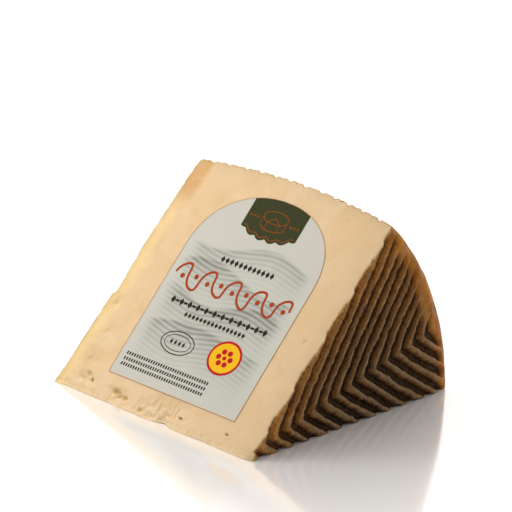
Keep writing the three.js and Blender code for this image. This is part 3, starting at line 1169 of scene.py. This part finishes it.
def slab_triangles(ids, count):
    """The two sides and the rim of a thin sheet; its lower side's corners come count later."""
    rim = np.concatenate([ids[0, :-1], ids[:-1, -1], ids[-1, :0:-1], ids[:0:-1, 0]])
    following = np.roll(rim, -1)
    first = np.stack([rim, following, following + count], -1)
    second = np.stack([rim, following + count, rim + count], -1)
    top = grid_triangles(ids)
    return np.concatenate([top, top[:, ::-1] + count, first, second])


def hill_tone(y, rho):
    """How dark the printed hills are: each is darkest at its crest and fades downwards."""
    tone = np.zeros_like(rho)
    for height, swell, length, top, reach, dark in HILLS:
        crest = (height + swell * np.cos(2 * math.pi * (y / MM - top) / length)) * MM
        below = crest - rho
        body = smooth_step(-CREST_SOFTNESS, CREST_SOFTNESS, below)
        tone = tone + dark * body * np.exp(-np.maximum(below, 0) / (reach * MM))
    return tone


def label_paper(material):
    share = np.linspace(0, 1, LABEL_ROWS)
    rise = np.where(share < 0.6, share, 1 - 0.4 * ((1 - share) / 0.4) ** 2)
    rho = (LABEL_BOTTOM + (LABEL_TOP - LABEL_BOTTOM) * rise)[:, None] * np.ones(LABEL_COLUMNS)
    y = LABEL_MIDDLE + label_half_width(rho) * np.linspace(1, -1, LABEL_COLUMNS)
    ids = np.arange(rho.size).reshape(rho.shape)
    points = np.concatenate([
        on_label(y, rho, height).reshape(-1, 3) for height in (LABEL_HEIGHT, 0.02 * MM)
    ])
    triangles = slab_triangles(ids, rho.size)
    sideways = np.abs(y - LABEL_MIDDLE)
    inside = smooth_step(*PRINT_SIDES, sideways) * smooth_step(*PRINT_BOTTOM, rho)
    hills = hill_tone(y, rho) * inside
    swell = LEVEL_SWELL * np.sin(2 * math.pi * y / LEVEL_LENGTH)
    fields = {
        "hills": hills,
        "level": 2 * math.pi * (rho + swell) / LEVEL_PITCH,
        "lined": np.clip(2.5 * hills, 0, 1),
    }
    fields = {key: np.tile(value.ravel(), 2) for key, value in fields.items()}
    return make_piece("label_paper", points, triangles, material, fields)


# Printed shapes, as grids of (y, rho) on the label

def stroke(path, width):
    """A line of one width along a path of points."""
    along = np.gradient(path, axis=0)
    along = along / np.linalg.norm(along, axis=1, keepdims=True)
    side = np.stack([-along[:, 1], along[:, 0]], -1) * width / 2
    return np.stack([path - side, path + side])


def oval_path(centre, half_y, half_rho, start=0.0, end=2 * math.pi, steps=64):
    turn = np.linspace(start, end, steps)
    return np.array(centre) + np.stack([half_y * np.cos(turn), half_rho * np.sin(turn)], -1)


def oval(centre, half_y, half_rho, steps=48):
    rim = oval_path(centre, half_y, half_rho, steps=steps)
    return np.stack([np.broadcast_to(np.array(centre), rim.shape), rim])


def diamond(centre, half_y, half_rho):
    return oval(centre, half_y, half_rho, steps=5)


def dash(centre, length, width):
    half = np.array([length / 2, 0])
    return stroke(np.stack([centre + half, centre - half]), width)


def rows_of(shape, rows):
    """One shape again and again along each row of a table."""
    shapes = []
    for *lengths, count in rows:
        across, up, first, last, rho = np.array(lengths) * MM
        shapes += [shape(np.array([y, rho]), across, up) for y in np.linspace(first, last, count)]
    return shapes


def ink_piece(name, grids, material, layer=1):
    """One mesh of several printed shapes, lying just above the paper."""
    points, triangles, start = [], [], 0
    for grid in grids:
        ids = np.arange(grid.shape[0] * grid.shape[1]).reshape(grid.shape[:2]) + start
        height = LABEL_HEIGHT + layer * INK_HEIGHT
        shape_points = on_label(grid[..., 0], grid[..., 1], height).reshape(-1, 3)
        shape_triangles = grid_triangles(ids) - start
        normals = np.broadcast_to(CUT_OUT, shape_points.shape)
        triangles.append(facing(shape_points, shape_triangles, normals) + start)
        points.append(shape_points)
        start += len(shape_points)
    return make_piece(name, np.concatenate(points), np.concatenate(triangles), material)


def badge_lower_edge(across):
    scallops = BADGE_SCALLOP * (1 - np.abs(np.sin(across * math.pi * 2.5)))
    return BADGE_BOTTOM + scallops + BADGE_RISE * np.abs(across) ** 2.5


def badge_grid():
    """A dark panel under the arch's top, with a scalloped lower edge."""
    across = np.linspace(-1, 1, 61)
    y = LABEL_MIDDLE + BADGE_HALF_WIDTH * across
    lower = badge_lower_edge(across)
    share = 1 - (np.abs(y - LABEL_MIDDLE) / LABEL_HALF_WIDTH) ** LABEL_ROUNDNESS
    arch = (LABEL_TOP - LABEL_SHOULDER) * share ** (1 / LABEL_ROUNDNESS)
    upper = LABEL_SHOULDER + arch - BADGE_GAP
    rows = np.linspace(0, 1, 14)[:, None]
    return np.stack(np.broadcast_arrays(y[None], lower + (upper - lower) * rows), -1)


def cut_wheel():
    """A wheel of cheese in outline, with a wedge cut in it."""
    top = np.array([LABEL_MIDDLE, WHEEL_TOP])
    drop = np.array([0, -WHEEL_DROP])
    half = np.array(WHEEL_HALF)
    paths = [oval_path(top, *half), oval_path(top + drop, *half, math.pi, 2 * math.pi)]
    for side in (-1, 1):
        wall = top + side * half * (1, 0)
        paths.append(np.stack([wall, wall + drop]))
    for turn in (-2.1, -1.05):
        edge = top + half * (math.cos(turn), math.sin(turn))
        paths.append(np.stack([top, edge]))
        paths.append(np.stack([edge, edge + drop]))
    return [stroke(path, BADGE_LINE) for path in paths]


def badge_ornament():
    """A cut wheel between two short rows of diamonds, above a scalloped line."""
    across = np.linspace(-0.9, 0.9, 61)
    y = LABEL_MIDDLE + BADGE_HALF_WIDTH * across
    scallops = stroke(np.stack([y, badge_lower_edge(across) + SCALLOP_RISE], -1), BADGE_LINE)
    return [*cut_wheel(), scallops, *rows_of(diamond, BADGE_ROWS)]


def garland():
    """A hand-drawn wave across the label with a berry in each hollow."""
    length = GARLAND_END - GARLAND_START
    along = np.linspace(0, 1, 260)
    height = GARLAND_HEIGHT * (1 + 0.18 * line_noise(along, 0.09, 81))
    rho = GARLAND_MIDDLE + height * np.sin(2 * math.pi * GARLAND_WAVES * along)
    lean = 0.9 * MM * np.sin(4 * math.pi * GARLAND_WAVES * along + 0.8)
    y = GARLAND_START + length * along + lean
    shapes = [stroke(np.stack([y, rho], -1), GARLAND_LINE)]
    for i in range(int(2 * GARLAND_WAVES)):
        share = (i + 0.5) / (2 * GARLAND_WAVES)
        side = -1 if i % 2 == 0 else 1
        berry = (GARLAND_START + length * share, GARLAND_MIDDLE + side * BERRY_OFF)
        shapes.append(oval(berry, BERRY_HALF, BERRY_HALF, steps=20))
    return shapes


def dark_rules():
    """Rows of small diamonds and dashes, and a double oval outline."""
    shapes = rows_of(diamond, DIAMOND_ROWS) + rows_of(dash, DASH_ROWS)
    for half_y, half_rho, line in OVALS:
        shapes.append(stroke(oval_path(OVAL_CENTRE, half_y, half_rho), line))
    return shapes


def flower():
    """A six-petalled flower with a ring around it."""
    shapes = [stroke(oval_path(DISC_CENTRE, *DISC_SIZE), 0.9 * MM)]
    shapes.append(oval(DISC_CENTRE, 0.9 * MM, 0.8 * MM))
    for turn in np.arange(6) * math.pi / 3:
        petal = np.array(DISC_CENTRE) + np.array(PETAL_PLACE) * (math.cos(turn), math.sin(turn))
        shapes.append(oval(petal, *PETAL_HALF, steps=24))
    return shapes


def label_painted_edge_line():
    """A thin line just inside the label's edge, laid on as ink: painted shade and glow of the paper's
    edge.
    """
    rise = LABEL_BOTTOM + (LABEL_TOP - LABEL_BOTTOM) * np.linspace(0, 1, 400) ** 0.5
    half = label_half_width(rise)
    right = np.stack([LABEL_MIDDLE - half, rise], -1)
    left = np.stack([LABEL_MIDDLE + half, rise], -1)[::-1]
    bottom = np.stack([np.linspace(left[-1, 0], right[0, 0], 80), np.full(80, LABEL_BOTTOM)], -1)
    path = np.concatenate([right, left[1:], bottom[1:]])
    middle = np.array([LABEL_MIDDLE, (LABEL_BOTTOM + LABEL_TOP) / 2])
    return stroke(middle + (path - middle) * OUTLINE_INSET, OUTLINE_LINE)


def print_label():
    green = ink_material("ink_green", INK_GREEN)
    rust = ink_material("ink_rust", INK_RUST)
    return [
        ink_piece("label_badge", [badge_grid()], green),
        ink_piece("label_badge_lines", badge_ornament(), ink_material("ink_copper", INK_COPPER), 2),
        ink_piece("label_garland", garland(), rust, 2),
        ink_piece("label_rules", dark_rules(), ink_material("ink_dark", INK_DARK)),
        ink_piece("label_disc", [oval(DISC_CENTRE, *DISC_SIZE)], ink_material("ink_ochre", INK_OCHRE)),
        ink_piece("label_flower", flower(), ink_material("ink_red", INK_RED), 2),
        ink_piece("label_painted_edge_line", [label_painted_edge_line()], ink_material("ink_painted_edge_shade", INK_PAINTED_EDGE_SHADE)),
    ]


# Stage

def camera_axes():
    azimuth, elevation = CAMERA_AZIMUTH, CAMERA_ELEVATION
    back = Vector((math.sin(azimuth) * math.cos(elevation), -math.cos(azimuth) * math.cos(elevation),
                   math.sin(elevation)))
    right = Vector((math.cos(azimuth), math.sin(azimuth), 0))
    return back, right, right.cross(-back)


def set_camera():
    back, right, up = camera_axes()
    aim = Vector(AXIS_POINT) + Vector(CAMERA_AIM)
    aim = aim + right * CAMERA_AIM_OFFSET[0] + up * CAMERA_AIM_OFFSET[1]
    data = bpy.data.cameras.new("camera")
    data.lens = CAMERA_LENS
    data.clip_end = 20
    camera = bpy.data.objects.new("camera", data)
    camera.location = aim + back * CAMERA_DISTANCE
    camera.rotation_mode = "QUATERNION"
    camera.rotation_quaternion = (-back).to_track_quat("-Z", "Y")
    bpy.context.scene.collection.objects.link(camera)
    bpy.context.scene.camera = camera


def floor_plane():
    half = FLOOR_HALF
    mesh = bpy.data.meshes.new("floor")
    corners = [(-half, -half, 0), (half, -half, 0), (half, half, 0), (-half, half, 0)]
    mesh.from_pydata(corners, [], [(0, 1, 2, 3)])
    material, tree, shader = new_material("floor")
    away = tree.nodes.new("ShaderNodeVectorMath")
    away.operation = "LENGTH"
    tree.links.new(place(tree), away.inputs[0])
    mirror = times(tree, ramp(tree, away.outputs["Value"], MIRROR_FAR, MIRROR_NEAR), 0.33)
    set_shader(tree, shader, {
        "Base Color": FLOOR_WHITE,
        "Roughness": 0.11,
        "Metallic": plus(tree, 0.14, mirror),
    })
    mesh.materials.append(material)
    floor = bpy.data.objects.new("floor", mesh)
    bpy.context.scene.collection.objects.link(floor)
    floor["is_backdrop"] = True


def soft_light(name, place_at, aim_at, size, power, colour=(1, 1, 1)):
    data = bpy.data.lights.new(name, "AREA")
    data.shape = "DISK"
    data.size = size
    data.energy = power
    data.color = colour
    light = bpy.data.objects.new(name, data)
    light.location = place_at
    direction = Vector(aim_at) - Vector(place_at)
    light.rotation_euler = direction.to_track_quat("-Z", "Y").to_euler()
    bpy.context.scene.collection.objects.link(light)


def set_world():
    """A white studio that is brighter on the side that the floor reflects."""
    world = bpy.data.worlds.new("studio")
    world.use_nodes = True
    tree = world.node_tree
    background = tree.nodes["Background"]
    background.inputs["Color"].default_value = (1, 1, 1, 1)
    towards = tree.nodes.new("ShaderNodeVectorMath")
    towards.operation = "DOT_PRODUCT"
    tree.links.new(tree.nodes.new("ShaderNodeTexCoord").outputs["Generated"], towards.inputs[0])
    towards.inputs[1].default_value = BRIGHT_SIDE
    share = ramp(tree, towards.outputs["Value"], -0.6, 0.8)
    strength = plus(tree, WORLD_DIM, times(tree, share, WORLD_BRIGHT - WORLD_DIM))
    tree.links.new(strength, background.inputs["Strength"])
    bpy.context.scene.world = world
    bpy.context.scene.view_settings.view_transform = "Standard"


def set_lights():
    middle = (0, 0, 30 * MM)
    soft_light("key", (-0.14, 0.27, 0.27), middle, 0.15, KEY_POWER, (1.0, 0.97, 0.92))
    soft_light("top", (0.3, 0.2, 0.9), middle, 0.4, TOP_POWER)
    soft_light("rim", (0.9, 0.02, 0.17), middle, 0.035, RIM_POWER)


def build():
    pressed, worn, final, fields = rind_surface()
    rind = rind_material()
    paste = paste_material()
    pieces = rind_pieces(final, fields, rind)
    surfaces = (pressed, worn, final)
    pieces.append(cut_face("cut_face", -1, surfaces, CUT_OUT, paste, True))
    pieces.append(cut_face("lower_face", 0, surfaces, FLOOR_OUT, paste, False))
    for piece in pieces:
        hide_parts("wedge")
    paper = label_paper(paper_material())
    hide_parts("label")
    printed = [paper, *print_label()]
    for piece in (*pieces, *printed):
        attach(piece, "root")


def write_sizes():
    """Lists the CAD box and the dressed part's box beside each other; the list is not kept."""
    boxes = [[list(corner) for corner in box] for box in (CAD_BOX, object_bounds())]


build()
floor_plane()
set_world()
set_lights()
set_camera()
write_sizes()
